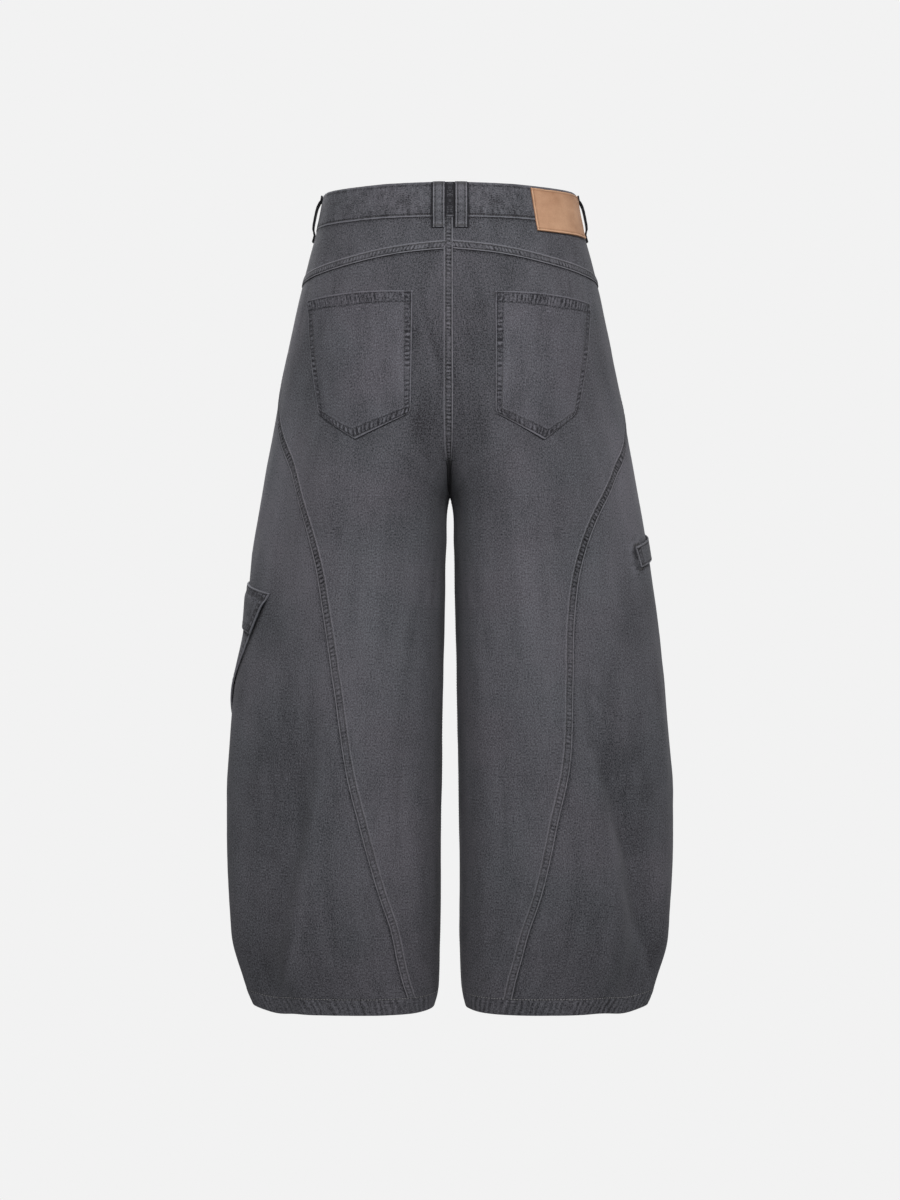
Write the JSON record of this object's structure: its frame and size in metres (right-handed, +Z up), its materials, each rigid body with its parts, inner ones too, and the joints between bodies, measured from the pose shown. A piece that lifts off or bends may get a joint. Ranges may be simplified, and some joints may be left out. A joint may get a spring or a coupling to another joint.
{
  "type": "barrel leg trousers",
  "caption": "Grey washed denim barrel leg trousers, hollow and open at waist and hems, with curved outside seams, yoke, back pockets, a flap cargo pocket, a tool loop and a leather patch",
  "frame": {"origin": "middle of the waist opening at the top of the waistband, where the wearer's waist holds the garment", "axes": "+X to the wearer's right, +Y to the wearer's front, +Z up; the picture looks along +Y at the back"},
  "size_m": [0.5516, 0.2485, 0.9976],
  "materials": {
    "denim": "washed grey twill denim, slightly worn along the seams",
    "pocket_denim": "the same denim, a little more worn on the raised pieces",
    "leather": "matt tan leather, bare",
    "button_metal": "dull dark metal"
  },
  "bodies": {
    "root": {"waistband_right": "denim", "waistband_left": "denim", "yoke_right": "denim", "yoke_left": "denim", "back_right": "denim", "back_left": "denim", "front_right": "denim", "front_left": "denim", "back_pocket_right": "pocket_denim", "back_pocket_left": "pocket_denim", "belt_loop_back_right": "denim", "belt_loop_back_left": "denim", "belt_loop_side_right": "denim", "belt_loop_side_left": "denim", "belt_loop_front_right": "denim", "belt_loop_front_left": "denim", "cargo_pocket": "pocket_denim", "cargo_flap": "pocket_denim", "tool_loop": "denim", "leather_patch": "leather", "waist_button": "button_metal"}
  },
  "joints": []
}
